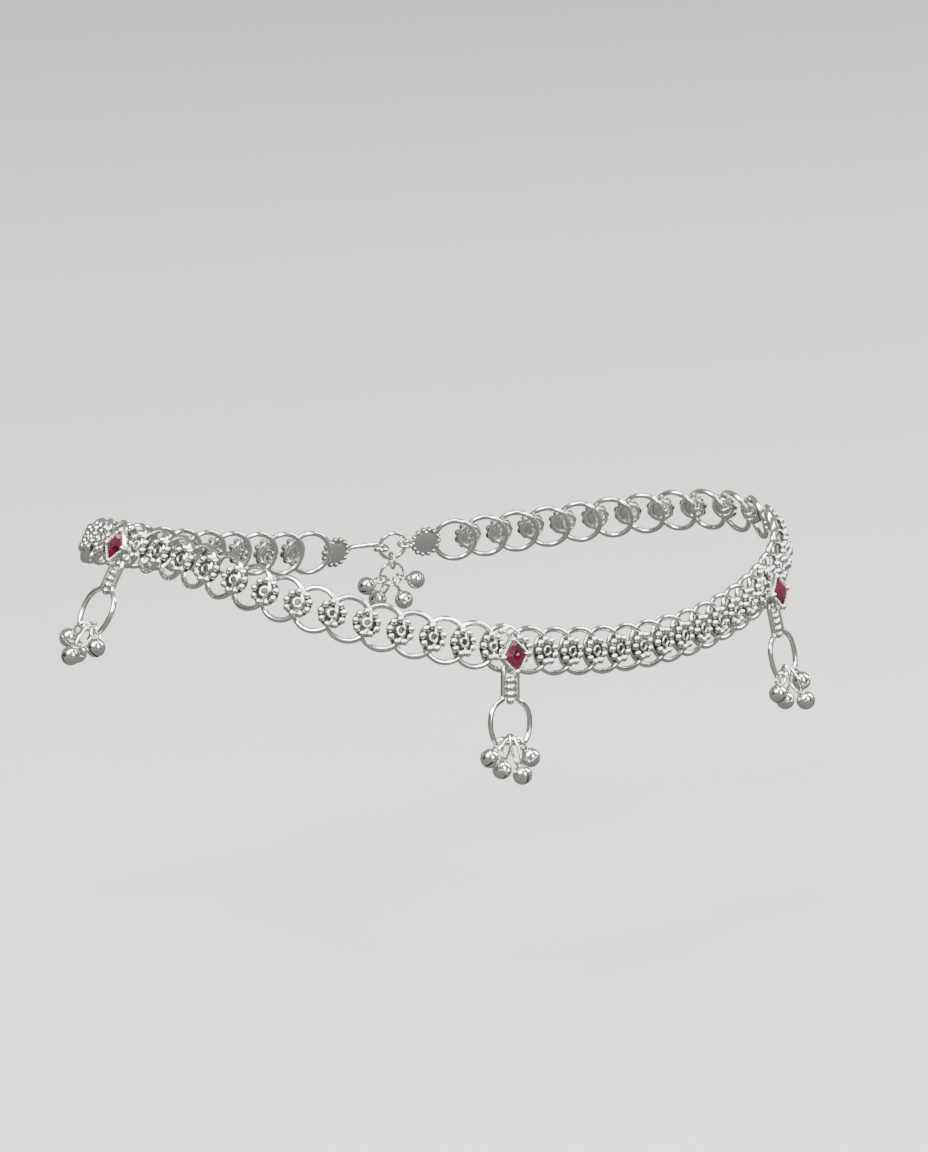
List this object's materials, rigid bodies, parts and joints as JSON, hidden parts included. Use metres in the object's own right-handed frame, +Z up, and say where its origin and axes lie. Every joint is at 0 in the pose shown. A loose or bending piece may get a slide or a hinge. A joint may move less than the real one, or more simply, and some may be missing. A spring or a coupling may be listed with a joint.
{
  "type": "payal anklet",
  "caption": "Silver ankle chain of overlapping wire hoops under granulated rosettes, with dark red stone settings, keyhole drops and small ball bells, worn as a closed loop.",
  "frame": {"origin": "the middle of the ankle opening, on the axis of the leg", "axes": "+Z up along the leg, +X towards the heel, -X towards the toes, -Y towards the inner side of the ankle"},
  "size_m": [0.1179, 0.076, 0.0349],
  "materials": {
    "silver": "bright silver, polished on the wires and bells, darker in the recesses",
    "stone": "faceted dark red stone, glossy"
  },
  "bodies": {
    "root": {"strand_01": "silver", "strand_02": "silver", "strand_03": "silver", "strand_04": "silver", "strand_05": "silver", "strand_06": "silver", "strand_07": "silver", "strand_08": "silver", "strand_09": "silver", "strand_10": "silver", "strand_11": "silver", "strand_12": "silver", "strand_13": "silver", "strand_14": "silver", "setting_1": "silver", "stone_1": "stone", "drop_frame_1": "silver", "bell_1a": "silver", "bell_1b": "silver", "bell_1c": "silver", "bell_1d": "silver", "setting_2": "silver", "stone_2": "stone", "drop_frame_2": "silver", "bell_2a": "silver", "bell_2b": "silver", "bell_2c": "silver", "bell_2d": "silver", "setting_3": "silver", "stone_3": "stone", "drop_frame_3": "silver", "bell_3a": "silver", "bell_3b": "silver", "bell_3c": "silver", "bell_3d": "silver", "end_plate": "silver", "closing_ring": "silver", "chain_ring_1": "silver", "chain_ring_2": "silver", "bell_4a": "silver", "bell_4b": "silver", "bell_4c": "silver", "bell_4d": "silver", "hook_plate": "silver"}
  },
  "joints": []
}
